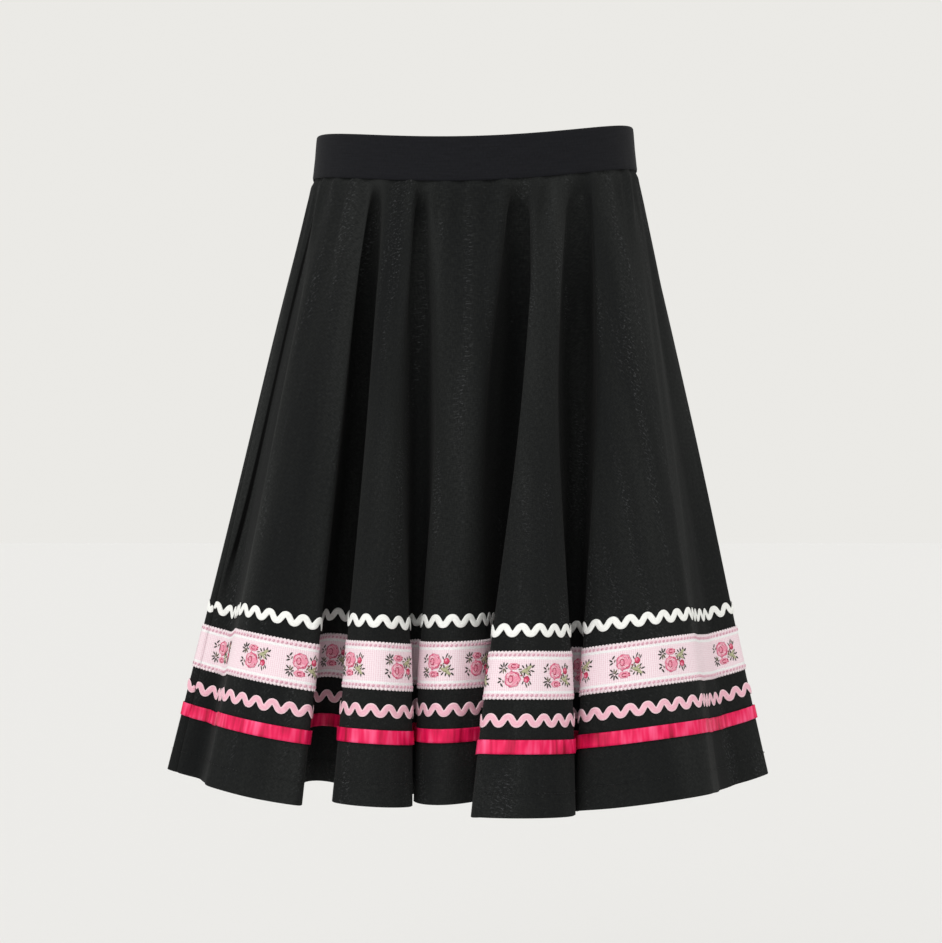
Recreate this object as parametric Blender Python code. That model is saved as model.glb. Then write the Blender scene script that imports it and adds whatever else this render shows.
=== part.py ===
"""Dance skirt: a gathered, flared skirt on a wide elastic waistband, with four rows of trim near the hem.

The skirt keeps the form it has when worn. The origin is the centre of the waist, +Z is up and the front faces -Y.
Lengths are in metres. Bearings are degrees round the waist, from the left (-X) through the front (-Y).
"""

import math
from collections import namedtuple

import bpy
from mathutils import Vector

# The waist, and the elastic band on it.
WAIST_HALF_WIDTH = 0.1390
WAIST_HALF_DEPTH = 0.0840
BAND_HEIGHT = 0.0380
BAND_THICKNESS = 0.0022
BAND_FLARE = 0.0035
BAND_SEGMENTS = 72
FRONT_DIP = 0.0180
BACK_DIP = 0.0060
SIDE_TILT = 0.0080

# The cloth under it.
WALL = 0.0012
SEAM_GAP = 0.0004
GATHERS = 32
GATHER_DEPTH = 0.0008
GATHER_REACH = 0.16
NECK_SHARE = 0.30
CREST_BELLY = 0.0020
SPLITS = (2, 2, 1, 1, 2, 2, 2, 2, 2)
WIDE_SPAN = 0.030
NARROW_SPAN = 0.010
UPPER_ROWS = (0.0, 0.08, 0.22, 0.46)

# The folds round the hem, from the left side through the front. A fold stands out between two corners of the hem,
# its crown bows outwards between them, and it leaves the waist between two bearings.
Fold = namedtuple("Fold", "name left_x left_y right_x right_y crown waist_from waist_to length")
FOLDS = (
    Fold("left_side", -0.273, -0.002, -0.241, -0.016, 0.002, -2, 14, 0.531),
    Fold("left_front", -0.222, -0.098, -0.138, -0.124, 0.016, 27, 51, 0.524),
    Fold("slim_front", -0.121, -0.124, -0.050, -0.124, 0.026, 60, 68, 0.517),
    Fold("centre_front", -0.052, -0.105, 0.005, -0.113, 0.026, 78, 101, 0.514),
    Fold("lapped_front", -0.008, -0.162, 0.083, -0.141, 0.024, 113, 122, 0.530),
    Fold("right_front", 0.079, -0.127, 0.192, -0.116, 0.027, 138, 160, 0.535),
    Fold("right_side", 0.224, -0.036, 0.259, -0.012, 0.003, 168, 182, 0.538),
    Fold("right_back", 0.228, 0.084, 0.160, 0.156, 0.016, 202, 221, 0.536),
    Fold("wide_back", 0.112, 0.182, 0.026, 0.198, 0.012, 234, 257, 0.530),
    Fold("slim_back", -0.028, 0.196, -0.090, 0.184, 0.009, 271, 289, 0.526),
    Fold("left_back", -0.146, 0.166, -0.212, 0.102, 0.012, 303, 325, 0.528),
)

# The valley after each fold. Its floor has a width, its sides pinch the folds next to it, and half way up the cloth
# it sinks further in.
Valley = namedtuple("Valley", "after x y width pinch sink")
VALLEYS = (
    Valley("left_side", -0.228, -0.056, 0.006, 0.000, 0.000),
    Valley("left_front", -0.132, -0.012, 0.040, 0.008, 0.014),
    Valley("slim_front", -0.051, -0.060, 0.020, 0.000, 0.014),
    Valley("centre_front", 0.034, -0.036, 0.026, 0.000, 0.014),
    Valley("lapped_front", 0.082, -0.054, 0.024, 0.002, 0.014),
    Valley("right_front", 0.205, -0.076, 0.006, 0.000, 0.000),
    Valley("right_side", 0.190, 0.046, 0.030, 0.006, 0.008),
    Valley("right_back", 0.108, 0.092, 0.030, 0.006, 0.008),
    Valley("wide_back", -0.002, 0.106, 0.028, 0.006, 0.008),
    Valley("slim_back", -0.094, 0.090, 0.030, 0.006, 0.008),
    Valley("left_back", -0.184, 0.044, 0.040, 0.000, 0.006),
)
# Edges of folds and floors of valleys that hang off the straight line from waist to hem, most at four tenths of
# their length: by the guide's number, how far it lies to the right and to the front there.
LEANS = {
    22: (-0.004, 0.000), 23: (-0.009, 0.000), 24: (-0.010, 0.000), 27: (0.006, 0.000), 28: (0.006, 0.000),
    31: (-0.004, 0.000), 32: (-0.010, 0.000), 33: (-0.012, 0.000), 34: (0.000, -0.011), 35: (0.004, -0.011),
    36: (0.004, 0.000), 37: (0.004, 0.000), 40: (-0.003, 0.000), 41: (-0.009, 0.000), 42: (-0.012, 0.000),
    43: (-0.002, -0.014), 44: (0.002, -0.014), 45: (0.006, 0.000), 46: (0.006, 0.000), 47: (0.003, 0.000),
}
LEFT_SEAM = 3.0
RIGHT_SEAM = 61.0

# The flat trims: the height of their lower edge above the hem, and their width.
TRIM_GAP = 0.0004
Ribbon = namedtuple("Ribbon", "name above_hem width thickness")
RIBBONS = (
    Ribbon("rose_ribbon", 0.092, 0.040, 0.0010),
    Ribbon("satin_ribbon", 0.049, 0.012, 0.0010),
)

# The ric-rac braids: the height of their middle above the hem, their whole width, the width of the braid that waves
# inside it, and the length of a wave.
RICRAC_LIFT = 0.0008
RICRAC_THICKNESS = 0.0012
SHARP_TURN = 10
RicRac = namedtuple("RicRac", "name above_hem width braid wave")
RICRACS = (
    RicRac("white_ricrac", 0.148, 0.0118, 0.0062, 0.0146),
    RicRac("pink_ricrac", 0.076, 0.0118, 0.0062, 0.0146),
)

Colour = namedtuple("Colour", "red green blue roughness")
BAND_BLACK = Colour(0.012, 0.013, 0.016, 0.75)
CLOTH_BLACK = Colour(0.014, 0.014, 0.015, 0.80)
WHITE = Colour(0.86, 0.87, 0.84, 0.65)
PINK = Colour(0.85, 0.40, 0.55, 0.65)
ROSE = Colour(0.86, 0.62, 0.70, 0.60)
MAGENTA = Colour(0.72, 0.015, 0.11, 0.35)


def clear_scene():
    for thing in list(bpy.data.objects):
        bpy.data.objects.remove(thing, do_unlink=True)


def material_of(name, colour):
    material = bpy.data.materials.new(name)
    material.use_nodes = True
    shader = material.node_tree.nodes["Principled BSDF"]
    shader.inputs["Base Color"].default_value = (colour.red, colour.green, colour.blue, 1)
    shader.inputs["Roughness"].default_value = colour.roughness
    shader.inputs["Metallic"].default_value = 0
    material.diffuse_color = (colour.red, colour.green, colour.blue, 1)
    return material


def add_solid(name, points, faces, material):
    mesh = bpy.data.meshes.new(name)
    mesh.from_pydata([tuple(point) for point in points], [], faces)
    mesh.materials.append(material)
    solid = bpy.data.objects.new(name, mesh)
    bpy.context.scene.collection.objects.link(solid)
    return solid


# ---- The form of the cloth ----


def waist_point(bearing, flare=BAND_FLARE):
    """A point on the lower edge of the band, or on its upper edge with no flare."""
    angle = math.radians(bearing)
    dip = FRONT_DIP if math.sin(angle) > 0 else BACK_DIP
    edge = -BAND_HEIGHT / 2 if flare else BAND_HEIGHT / 2
    return Vector((
        -(WAIST_HALF_WIDTH + flare) * math.cos(angle),
        -(WAIST_HALF_DEPTH + flare) * math.sin(angle),
        edge - dip * math.sin(angle) ** 2 - SIDE_TILT / 2 * math.cos(angle),
    ))


# What the smooth form is drawn through: a bearing at the waist, a point of the hem, the length of cloth between
# them, and how far the cloth bows there, which is most at four tenths of its length.
Guide = namedtuple("Guide", "bearing hem length bow")


def corners_of(fold):
    return Vector((fold.left_x, fold.left_y)), Vector((fold.right_x, fold.right_y))


def floor_of(valley, left, right):
    """The two ends of a valley's floor, which lies square to the way in between the corners on either side."""
    middle = Vector((valley.x, valley.y))
    inwards = (middle - (left + right) / 2).normalized()
    across = Vector((inwards.y, -inwards.x))
    return middle - across * valley.width / 2, middle + across * valley.width / 2


def fold_guides(index):
    """The guides of one fold and of the valley after it."""
    fold, after = FOLDS[index], FOLDS[(index + 1) % len(FOLDS)]
    valley, before = VALLEYS[index], VALLEYS[index - 1]
    left, right = corners_of(fold)
    along = (right - left).normalized()
    outwards = Vector((along.y, -along.x))
    floor_before = floor_of(before, corners_of(FOLDS[index - 1])[1], left)[1]
    floor_left, floor_right = floor_of(valley, right, corners_of(after)[0])
    gap = (after.waist_from - fold.waist_to) % 360
    gap_before = (fold.waist_from - FOLDS[index - 1].waist_to) % 360

    belly = outwards * CREST_BELLY
    neck = left.lerp(floor_before, NECK_SHARE) + along * before.pinch
    guides = [Guide(fold.waist_from - gap_before / 5, neck, fold.length, Vector((0, 0)))]
    for share in (0.0, 0.25, 0.5, 0.75, 1.0):
        bearing = fold.waist_from + (fold.waist_to - fold.waist_from) * share
        crown = outwards * fold.crown * 4 * share * (1 - share)
        guides.append(Guide(bearing, left.lerp(right, share) + crown, fold.length, belly))
    neck = right.lerp(floor_left, NECK_SHARE) - along * valley.pinch
    guides.append(Guide(fold.waist_to + gap / 5, neck, fold.length, Vector((0, 0))))

    across = (floor_right - floor_left).normalized()
    sink = Vector((-across.y, across.x)) * valley.sink
    length = (fold.length + after.length) / 2
    guides.append(Guide(fold.waist_to + gap * 2 / 5, floor_left, length, sink))
    guides.append(Guide(fold.waist_to + gap * 3 / 5, floor_right, length, sink))
    return guides


GUIDES = [guide for index in range(len(FOLDS)) for guide in fold_guides(index)]
for number, (right, front) in LEANS.items():
    GUIDES[number] = GUIDES[number]._replace(bow=GUIDES[number].bow + Vector((right, -front)))


def guide_at(station):
    """The smooth run through the guides, at a station counted in guides from the left side."""
    middle = math.floor(station)
    part = station - middle
    weights = ((1 - part) ** 2 / 2, 0.5 + part * (1 - part), part ** 2 / 2)
    bearing, length, hem, bow = 0.0, 0.0, Vector((0, 0)), Vector((0, 0))
    for step, weight in zip((-1, 0, 1), weights):
        turns, place = divmod(middle + step, len(GUIDES))
        guide = GUIDES[place]
        bearing += weight * (guide.bearing + 360 * turns)
        length += weight * guide.length
        hem += weight * guide.hem
        bow += weight * guide.bow
    return Guide(bearing, hem, length, bow)


def cloth_point(station, share):
    """A point of the cloth's outer face, at a share of the way from the waist seam to the hem."""
    guide = guide_at(station)
    waist = waist_point(guide.bearing)
    drop = math.sqrt(guide.length ** 2 - (guide.hem - waist.xy).length_squared)
    bow = guide.bow * 28.9 * share ** 2 * (1 - share) ** 3
    flat = waist.xy.lerp(guide.hem, share) + bow
    fade = max(0.0, 1 - share / GATHER_REACH) ** 2
    ripple = GATHER_DEPTH * fade * math.cos(math.radians(guide.bearing * GATHERS))
    outwards = Vector((waist.x / WAIST_HALF_WIDTH ** 2, waist.y / WAIST_HALF_DEPTH ** 2)).normalized()
    flat += outwards * ripple
    return Vector((flat.x, flat.y, waist.z - SEAM_GAP - share * drop))


def cloth_normal(station, share):
    aside = cloth_point(station + 0.04, share) - cloth_point(station - 0.04, share)
    low, high = max(share - 0.01, 0), min(share + 0.01, 1)
    down = cloth_point(station, high) - cloth_point(station, low)
    return down.cross(aside).normalized()


# ---- Walls made from the cloth ----

# A column of the cloth: its station, and the way along the hem in which a seam pulls it back.
Column = namedtuple("Column", "station pull")


def columns_between(first, last):
    """The columns of a panel, with both ends pulled in from their seams."""
    columns = [Column(first, 1)]
    for span in range(math.floor(first), math.ceil(last)):
        width = (cloth_point(span + 1, 1) - cloth_point(span, 1)).length
        splits = 1 if width < NARROW_SPAN else SPLITS[span % len(SPLITS)] + (width > WIDE_SPAN)
        for split in range(splits):
            station = span + split / splits
            if first < station < last:
                columns.append(Column(station, 0))
    columns.append(Column(last, -1))
    return columns


def lifted(column, share, lift):
    """A point above or below the outer face, kept clear of a seam."""
    point = cloth_point(column.station, share)
    aside = cloth_point(column.station + 0.02, share) - cloth_point(column.station - 0.02, share)
    point += aside.normalized() * column.pull * SEAM_GAP / 2
    return point + cloth_normal(column.station, share) * lift


def wall_faces(rings, size):
    """Closes sections of `size` points each into one solid, capped at both ends. A section runs down the outer face
    and up the inner one, and both faces are split along the same diagonals, so that they never meet."""
    faces = []
    for ring in range(rings - 1):
        for place in range(size):
            after = (place + 1) % size
            here, there = ring * size, (ring + 1) * size
            a, b, c, d = here + place, here + after, there + after, there + place
            faces += [(a, b, c), (a, c, d)] if place < size // 2 else [(a, b, d), (b, c, d)]
    faces.append(tuple(reversed(range(size))))
    faces.append(tuple(range((rings - 1) * size, rings * size)))
    return faces


def section_caps(size):
    """The quads that close an end section, which runs down one face and up the other."""
    half = size // 2
    return [(place, place + 1, size - 2 - place, size - 1 - place) for place in range(half - 1)]


def add_wall(name, columns, shares_of, outer, inner, material):
    """A wall between two lifts of the cloth, over these columns and the shares that each of them has."""
    points = []
    for column in columns:
        shares = shares_of(guide_at(column.station).length)
        points += [lifted(column, share, outer) for share in shares]
        points += [lifted(column, share, inner) for share in reversed(shares)]
    size = 2 * len(shares)
    faces = wall_faces(len(columns), size)[:-2]
    last = (len(columns) - 1) * size
    faces += [tuple(reversed(cap)) for cap in section_caps(size)]
    faces += [tuple(last + place for place in cap) for cap in section_caps(size)]
    return add_solid(name, points, faces, material)


def panel_shares(length):
    """The rows of a panel: some down the plain cloth, then one at each edge of a flat trim, then the hem."""
    edges = [edge for ribbon in RIBBONS for edge in (ribbon.above_hem + ribbon.width, ribbon.above_hem)]
    return list(UPPER_ROWS) + [1 - edge / length for edge in edges] + [1.0]


# ---- Ric-rac ----


def along_of(columns, above_hem):
    """The distance of each column along a level line of the cloth."""
    distances = [0.0]
    points = [cloth_point(c.station, 1 - above_hem / guide_at(c.station).length) for c in columns]
    for here, there in zip(points, points[1:]):
        distances.append(distances[-1] + (there - here).length)
    return distances


def ricrac_stops(columns, ricrac):
    """Where a braid bends: at each top and bottom of its wave, and at each sharp turn of the cloth."""
    distances = along_of(columns, ricrac.above_hem)
    waves = round(distances[-1] / ricrac.wave)
    half_wave = distances[-1] / (2 * waves)
    stops = {step * half_wave for step in range(2 * waves + 1)}
    normals = [cloth_normal(c.station, 1 - ricrac.above_hem / guide_at(c.station).length) for c in columns]
    for index in range(1, len(columns) - 1):
        turn = math.degrees(normals[index - 1].angle(normals[index + 1])) / 2
        if turn > SHARP_TURN:
            stops = {stop for stop in stops if abs(stop - distances[index]) > half_wave / 5}
            stops.add(distances[index])
    return sorted(stops), half_wave, distances


def add_ricrac(name, columns, ricrac, material):
    stops, half_wave, distances = ricrac_stops(columns, ricrac)
    sway = (ricrac.width - ricrac.braid) / 2
    points, index = [], 0
    for stop in stops:
        while index < len(distances) - 2 and distances[index + 1] < stop:
            index += 1
        part = (stop - distances[index]) / (distances[index + 1] - distances[index])
        here, there = columns[index], columns[index + 1]
        phase = stop / half_wave
        middle = sway * (1 - 2 * abs(phase % 2 - 1))
        for lift, edges in ((RICRAC_LIFT + RICRAC_THICKNESS, (1, -1)), (RICRAC_LIFT, (-1, 1))):
            for edge in edges:
                above = ricrac.above_hem + middle + edge * ricrac.braid / 2
                ends = [lifted(c, 1 - above / guide_at(c.station).length, lift) for c in (here, there)]
                points.append(ends[0].lerp(ends[1], part))
    return add_solid(name, points, wall_faces(len(stops), 4), material)


# ---- The skirt ----


def add_waistband(material):
    points, faces = [], []
    for segment in range(BAND_SEGMENTS):
        bearing = 360 * segment / BAND_SEGMENTS
        top, bottom = waist_point(bearing, 0), waist_point(bearing)
        outwards = Vector((top.x / WAIST_HALF_WIDTH ** 2, top.y / WAIST_HALF_DEPTH ** 2, 0)).normalized()
        inner = outwards * BAND_THICKNESS
        points += [top, bottom, bottom - inner, top - inner]
    for segment in range(BAND_SEGMENTS):
        here, there = 4 * segment, 4 * ((segment + 1) % BAND_SEGMENTS)
        for place in range(4):
            after = (place + 1) % 4
            faces.append((here + place, here + after, there + after, there + place))
    return add_solid("waistband", points, faces, material)


def main():
    clear_scene()
    band, cloth = material_of("band_elastic", BAND_BLACK), material_of("black_cloth", CLOTH_BLACK)
    trim = {
        "rose_ribbon": material_of("rose_jacquard", ROSE),
        "satin_ribbon": material_of("magenta_satin", MAGENTA),
        "white_ricrac": material_of("white_braid", WHITE),
        "pink_ricrac": material_of("pink_braid", PINK),
    }
    add_waistband(band)
    for side, first, last in (("front", LEFT_SEAM, RIGHT_SEAM), ("back", RIGHT_SEAM, len(GUIDES) + LEFT_SEAM)):
        columns = columns_between(first, last)
        add_wall(f"{side}_panel", columns, panel_shares, 0, -WALL, cloth)
        for ribbon in RIBBONS:

            def edges(length, ribbon=ribbon):
                return [1 - (ribbon.above_hem + ribbon.width) / length, 1 - ribbon.above_hem / length]

            add_wall(f"{ribbon.name}_{side}", columns, edges, TRIM_GAP + ribbon.thickness, TRIM_GAP, trim[ribbon.name])
        for ricrac in RICRACS:
            add_ricrac(f"{ricrac.name}_{side}", columns, ricrac, trim[ricrac.name])


main()
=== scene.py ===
import math

import bmesh
import bpy
import numpy as np
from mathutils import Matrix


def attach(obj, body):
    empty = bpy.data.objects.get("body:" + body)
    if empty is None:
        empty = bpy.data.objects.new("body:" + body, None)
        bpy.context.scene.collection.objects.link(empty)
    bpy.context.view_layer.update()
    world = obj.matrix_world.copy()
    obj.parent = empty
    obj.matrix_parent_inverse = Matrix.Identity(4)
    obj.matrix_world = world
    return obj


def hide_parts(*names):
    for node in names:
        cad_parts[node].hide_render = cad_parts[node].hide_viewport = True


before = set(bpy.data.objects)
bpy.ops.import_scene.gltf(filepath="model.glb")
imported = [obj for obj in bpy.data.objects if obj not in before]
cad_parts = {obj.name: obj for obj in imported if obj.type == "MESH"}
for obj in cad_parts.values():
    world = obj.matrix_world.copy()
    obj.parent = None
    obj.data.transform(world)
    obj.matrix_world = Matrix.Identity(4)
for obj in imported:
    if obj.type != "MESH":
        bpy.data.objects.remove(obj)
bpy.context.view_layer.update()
print("frame loaded")

# The form of the cloth. A fold: left x, left y, right x, right y, crown, waist from, waist to, length of cloth.
# The valley after it: x, y, width, pinch, sink.
clothForm = {
    "waistHalfWidth": 0.1390,
    "waistHalfDepth": 0.0840,
    "bandHeight": 0.0380,
    "bandFlare": 0.0035,
    "frontDip": 0.0180,
    "backDip": 0.0060,
    "sideTilt": 0.0080,
    "seamGap": 0.0004,
    "gathers": 32,
    "gatherDepth": 0.0008,
    "gatherReach": 0.16,
    "neckShare": 0.30,
    "crestBelly": 0.0020,
    "bowScale": 28.9,  # makes a bow whole at four tenths of the length
    "tilt": (0.04, 0.01),  # steps of station and share that give the cloth its way out
    "folds": (
        (-0.273, -0.002, -0.241, -0.016, 0.002, -2, 14, 0.531),
        (-0.222, -0.098, -0.138, -0.124, 0.016, 27, 51, 0.524),
        (-0.121, -0.124, -0.050, -0.124, 0.026, 60, 68, 0.517),
        (-0.052, -0.105, 0.005, -0.113, 0.026, 78, 101, 0.514),
        (-0.008, -0.162, 0.083, -0.141, 0.024, 113, 122, 0.530),
        (0.079, -0.127, 0.192, -0.116, 0.027, 138, 160, 0.535),
        (0.224, -0.036, 0.259, -0.012, 0.003, 168, 182, 0.538),
        (0.228, 0.084, 0.160, 0.156, 0.016, 202, 221, 0.536),
        (0.112, 0.182, 0.026, 0.198, 0.012, 234, 257, 0.530),
        (-0.028, 0.196, -0.090, 0.184, 0.009, 271, 289, 0.526),
        (-0.146, 0.166, -0.212, 0.102, 0.012, 303, 325, 0.528),
    ),
    "valleys": (
        (-0.228, -0.056, 0.006, 0.000, 0.000),
        (-0.132, -0.012, 0.040, 0.008, 0.014),
        (-0.051, -0.060, 0.020, 0.000, 0.014),
        (0.034, -0.036, 0.026, 0.000, 0.014),
        (0.082, -0.054, 0.024, 0.002, 0.014),
        (0.205, -0.076, 0.006, 0.000, 0.000),
        (0.190, 0.046, 0.030, 0.006, 0.008),
        (0.108, 0.092, 0.030, 0.006, 0.008),
        (-0.002, 0.106, 0.028, 0.006, 0.008),
        (-0.094, 0.090, 0.030, 0.006, 0.008),
        (-0.184, 0.044, 0.040, 0.000, 0.006),
    ),
}


def waistPoints(bearing, upper=False):
    form = clothForm
    angle = np.radians(bearing)
    flare = 0.0 if upper else form["bandFlare"]
    edge = form["bandHeight"] / 2 if upper else -form["bandHeight"] / 2
    dip = np.where(np.sin(angle) > 0, form["frontDip"], form["backDip"])
    x = -(form["waistHalfWidth"] + flare) * np.cos(angle)
    y = -(form["waistHalfDepth"] + flare) * np.sin(angle)
    return np.stack((x, y, edge - dip * np.sin(angle) ** 2 - form["sideTilt"] / 2 * np.cos(angle)), -1)


def unit(vectors):
    return vectors / np.maximum(np.linalg.norm(vectors, axis=-1, keepdims=True), 1e-12)


def floorOf(valley, left, right):
    # the two ends of a valley's floor, square to the way in
    middle = np.array(valley[:2])
    inwards = unit(middle - (left + right) / 2)
    across = np.array((inwards[1], -inwards[0]))
    return middle - across * valley[2] / 2, middle + across * valley[2] / 2


def makeGuides():
    # rows of bearing, hem x, hem y, length, bow x, bow y
    folds, valleys = clothForm["folds"], clothForm["valleys"]
    rows = []
    for index, fold in enumerate(folds):
        after, before = folds[(index + 1) % len(folds)], folds[index - 1]
        valley, valleyBefore = valleys[index], valleys[index - 1]
        left, right = np.array(fold[0:2]), np.array(fold[2:4])
        crown, waistFrom, waistTo, length = fold[4:]
        along = unit(right - left)
        outwards = np.array((along[1], -along[0]))
        floorBefore = floorOf(valleyBefore, np.array(before[2:4]), left)[1]
        floorLeft, floorRight = floorOf(valley, right, np.array(after[0:2]))
        gap = (after[5] - waistTo) % 360
        gapBefore = (waistFrom - before[6]) % 360
        neckShare = clothForm["neckShare"]
        neck = left + (floorBefore - left) * neckShare + along * valleyBefore[3]
        rows.append((waistFrom - gapBefore / 5, *neck, length, 0, 0))
        belly = outwards * clothForm["crestBelly"]
        for share in (0.0, 0.25, 0.5, 0.75, 1.0):
            hem = left + (right - left) * share + outwards * crown * 4 * share * (1 - share)
            rows.append((waistFrom + (waistTo - waistFrom) * share, *hem, length, *belly))
        neck = right + (floorLeft - right) * neckShare - along * valley[3]
        rows.append((waistTo + gap / 5, *neck, length, 0, 0))
        across = unit(floorRight - floorLeft)
        sink = np.array((-across[1], across[0])) * valley[4]
        rows.append((waistTo + gap * 2 / 5, *floorLeft, (length + after[7]) / 2, *sink))
        rows.append((waistTo + gap * 3 / 5, *floorRight, (length + after[7]) / 2, *sink))
    return np.array(rows, float)


guides = makeGuides()
# Edges of folds and floors of valleys that hang off the straight line from waist to hem, most at four tenths of
# their length: the guide's number, and how far it lies to the right and to the front there.
leans = (
    (22, -0.004, 0.000), (23, -0.009, 0.000), (24, -0.010, 0.000), (27, 0.006, 0.000), (28, 0.006, 0.000),
    (31, -0.004, 0.000), (32, -0.010, 0.000), (33, -0.012, 0.000), (34, 0.000, -0.011), (35, 0.004, -0.011),
    (36, 0.004, 0.000), (37, 0.004, 0.000), (40, -0.003, 0.000), (41, -0.009, 0.000), (42, -0.012, 0.000),
    (43, -0.002, -0.014), (44, 0.002, -0.014), (45, 0.006, 0.000), (46, 0.006, 0.000), (47, 0.003, 0.000),
)
for number, right, front in leans:
    guides[number, 4:6] += (right, -front)


def guideAt(station):
    # the smooth run through the guides
    station = np.asarray(station, float)
    middle = np.floor(station).astype(int)
    part = (station - middle)[..., None]
    weights = ((1 - part) ** 2 / 2, 0.5 + part * (1 - part), part**2 / 2)
    result = 0
    for step, weight in zip((-1, 0, 1), weights):
        turns, place = np.divmod(middle + step, len(guides))
        rows = guides[place].copy()
        rows[..., 0] += 360 * turns
        result = result + weight * rows
    return result


def clothPoints(station, share):
    form = clothForm
    guide = guideAt(station)
    bearing, hem, length, bow = guide[..., 0], guide[..., 1:3], guide[..., 3], guide[..., 4:6]
    waist = waistPoints(bearing)
    drop = np.sqrt(length**2 - ((hem - waist[..., :2]) ** 2).sum(-1))
    level = np.clip(share, 0, 1)
    flat = waist[..., :2] + (hem - waist[..., :2]) * share[..., None]
    flat = flat + bow * (form["bowScale"] * level**2 * (1 - level) ** 3)[..., None]
    fade = np.clip(1 - level / form["gatherReach"], 0, 1) ** 2
    ripple = form["gatherDepth"] * fade * np.cos(np.radians(bearing * form["gathers"]))
    size = np.array((form["waistHalfWidth"], form["waistHalfDepth"]))
    flat = flat + unit(waist[..., :2] / size**2) * ripple[..., None]
    return np.concatenate((flat, (waist[..., 2] - form["seamGap"] - share * drop)[..., None]), -1)


def clothFrames(station, share):
    # the way along the hem and the way out of the cloth
    step, drop = clothForm["tilt"]
    aside = clothPoints(station + step, share) - clothPoints(station - step, share)
    down = clothPoints(station, share + drop) - clothPoints(station, share - drop)
    return unit(aside), unit(np.cross(down, aside))


# What the form leaves out: gathers under the band, the turned hem, the side seams, and a soft unevenness.
clothRelief = {
    "gatherDepth": 0.0032,
    "gatherReach": 0.27,
    "gatherWaves": ((43, 0.0, 1.0), (61, 1.3, 0.5), (29, 2.2, 0.7)),
    "gatherSides": 0.30,  # how much of them is left at the sides
    "gatherStart": 0.12,  # and right under the band
    "gatherFull": 0.05,
    "tuckDepth": 0.0014,
    "tuckShare": 0.010,
    # the valleys start as creases right under the band: station, half width, depth
    "creases": (
        (16.5, 0.9, 0.010), (25.5, 0.9, 0.009), (34.5, 1.0, 0.011), (43.5, 1.0, 0.012),
        (70.5, 0.9, 0.006), (79.5, 0.9, 0.006), (88.5, 0.9, 0.006), (97.5, 0.9, 0.006),
    ),
    "creaseStart": 0.06,
    "creaseEnd": 0.50,
    "hemTurn": 0.0200,
    "hemStep": 0.0001,
    "hemEase": 0.0012,
    # station of a side seam and the metres in one station there
    "seams": ((3.0, 0.009), (61.0, 0.038), (102.0, 0.009)),
    "seamDepth": 0.0011,
    "seamWidth": 0.0017,
    # depth, length across, waves down, phase
    "sway": ((0.0010, 0.118, 0.5, 0.4), (0.0006, 0.071, -0.9, 2.1), (0.0003, 0.043, 1.6, 4.0)),
    "swayStart": 0.2,
}


def smooth(value):
    value = np.clip(value, 0, 1)
    return value * value * (3 - 2 * value)


def stepsOf(points):
    return np.linalg.norm(np.diff(points, axis=0), axis=1)


# Distances round the skirt, four fifths of the way down.
hemStations = np.linspace(-2, 105, 4001)
hemSteps = stepsOf(clothPoints(hemStations, 0 * hemStations + 0.8))
hemDistances = np.concatenate(([0], np.cumsum(hemSteps)))


def reliefOf(station, share):
    relief = clothRelief
    guide = guideAt(station)
    angle = np.radians(guide[..., 0])
    above = (1 - share) * guide[..., 3]
    fade = np.clip(1 - share / relief["gatherReach"], 0, 1) ** 2
    fade = fade * (relief["gatherStart"] + (1 - relief["gatherStart"]) * smooth(share / relief["gatherFull"]))
    height = 0
    for count, phase, weight in relief["gatherWaves"]:
        height = height + weight * np.cos(count * angle + phase + 1.5 * np.sin(5 * angle + phase))
    amount = relief["gatherSides"] + (1 - relief["gatherSides"]) * np.sin(angle) ** 4
    height = height * relief["gatherDepth"] * fade * amount
    height = height - relief["tuckDepth"] * (1 - smooth(share / relief["tuckShare"]))
    height = height + relief["hemStep"] * smooth((relief["hemTurn"] - above) / relief["hemEase"])
    crease = smooth(share / relief["creaseStart"]) * (1 - smooth((share - relief["creaseStart"]) / relief["creaseEnd"]))
    for place, width, depth in relief["creases"]:
        height = height - depth * crease * np.exp(-(((station - place) / width) ** 2))
    for seam, scale in relief["seams"]:
        away = (station - seam) * scale / relief["seamWidth"]
        height = height - relief["seamDepth"] * np.exp(-(away**2))
    distance = np.interp(station, hemStations, hemDistances)
    for depth, across, down, phase in relief["sway"]:
        wave = np.sin(2 * math.pi * (distance / across + down * share) + phase)
        height = height + depth * wave * smooth(share / relief["swayStart"])
    return height


def clothSurface(station, share, lift=0.0, side=0.0):
    station, share = np.broadcast_arrays(np.asarray(station, float), np.asarray(share, float))
    aside, outwards = clothFrames(station, share)
    height = reliefOf(station, share) + lift
    side = np.broadcast_to(side, height.shape)
    return clothPoints(station, share) + outwards * height[..., None] + aside * side[..., None]


def runAlong(first, last, aboveHem):
    # stations and the distance of each along a level line of the cloth
    stations = np.linspace(first, last, 2401)
    points = clothSurface(stations, 1 - aboveHem / guideAt(stations)[:, 3])
    return stations, np.concatenate(([0], np.cumsum(stepsOf(points))))


# The two halves of the skirt, each between two side seams.
sides = {"front": (3.0, 61.0), "back": (61.0, 102.0)}


def addObject(name, data):
    made = bpy.data.objects.new(name, data)
    bpy.context.scene.collection.objects.link(made)
    return made


def addMesh(name, points, faces, material=None, uv=None):
    mesh = bpy.data.meshes.new(name)
    mesh.from_pydata(np.asarray(points).tolist(), [], [tuple(int(corner) for corner in face) for face in faces])
    if material:
        mesh.materials.append(material)
    finishMesh(mesh, uv)
    return addObject(name, mesh)


def cornersOf(mesh):
    corners = np.empty(len(mesh.loops), np.int32)
    mesh.loops.foreach_get("vertex_index", corners)
    return corners


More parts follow.
